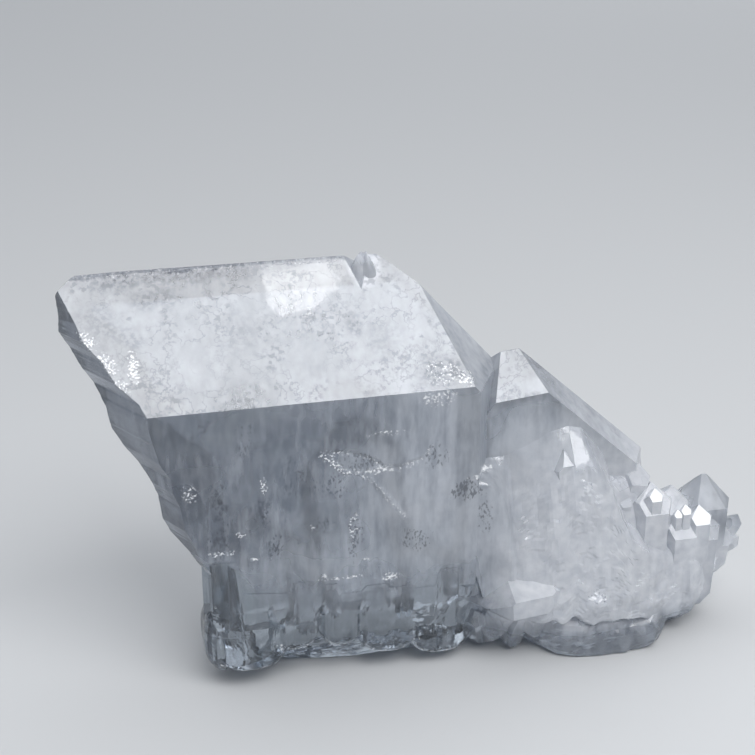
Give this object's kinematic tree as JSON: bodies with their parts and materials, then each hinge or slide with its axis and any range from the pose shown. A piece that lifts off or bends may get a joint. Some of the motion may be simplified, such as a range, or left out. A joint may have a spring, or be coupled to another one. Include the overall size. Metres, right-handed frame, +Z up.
{
  "type": "faden quartz cluster",
  "caption": "Natural cluster of tabular clear quartz grown together, with a milky side and drusy ends, cut flat underneath to stand.",
  "frame": {"origin": "under the middle of the cluster's box, on the surface that it rests on", "axes": "+Z up, along the crystals' long axis; +X along the broad front face towards the milky end; -Y is the front"},
  "size_m": [0.1029, 0.0293, 0.0614],
  "materials": {
    "clear_quartz": "clear to milky quartz, glassy prism faces and finely etched end faces"
  },
  "bodies": {
    "root": {"quartz_cluster": "clear_quartz"}
  },
  "joints": []
}
